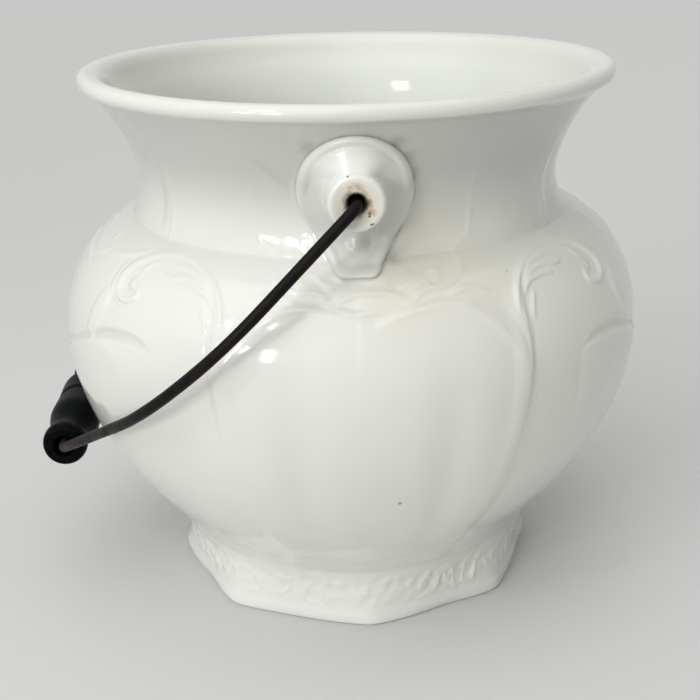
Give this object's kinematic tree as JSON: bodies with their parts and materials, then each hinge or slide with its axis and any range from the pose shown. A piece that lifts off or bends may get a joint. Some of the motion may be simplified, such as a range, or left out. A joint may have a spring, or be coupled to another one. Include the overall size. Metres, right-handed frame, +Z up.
{
  "type": "slop jar",
  "caption": "White ironstone slop jar with a panelled bowl, flared neck and scalloped foot, and a swinging wire bail with a turned black wooden grip.",
  "frame": {"origin": "centre of the foot's standing plane, on the jar's own axis", "axes": "+Z up along the jar's axis, -Y towards the front lug, and the bail hangs down on the -X side"},
  "size_m": [0.2913, 0.2882, 0.251],
  "materials": {
    "glaze": "glossy white glaze",
    "iron_wire": "blackened, rubbed and a little rusty",
    "black_wood": "turned and blackened, semi-gloss"
  },
  "bodies": {
    "jar": {"jar_body": "glaze", "front_lug": "glaze", "rear_lug": "glaze"},
    "bail": {"bail_wire": "iron_wire"},
    "grip": {"grip": "black_wood"}
  },
  "joints": [
    {"name": "bail_swing", "type": "hinge", "parent": "jar", "child": "bail", "pos_m": [0, 0, 0.2115], "axis": [0, 1, 0], "range_deg": [0, 266.9]},
    {"name": "grip_turn", "type": "hinge", "parent": "bail", "child": "grip", "pos_m": [-0.14005, 0, 0.0787], "axis": [0, 1, 0], "continuous": true}
  ]
}
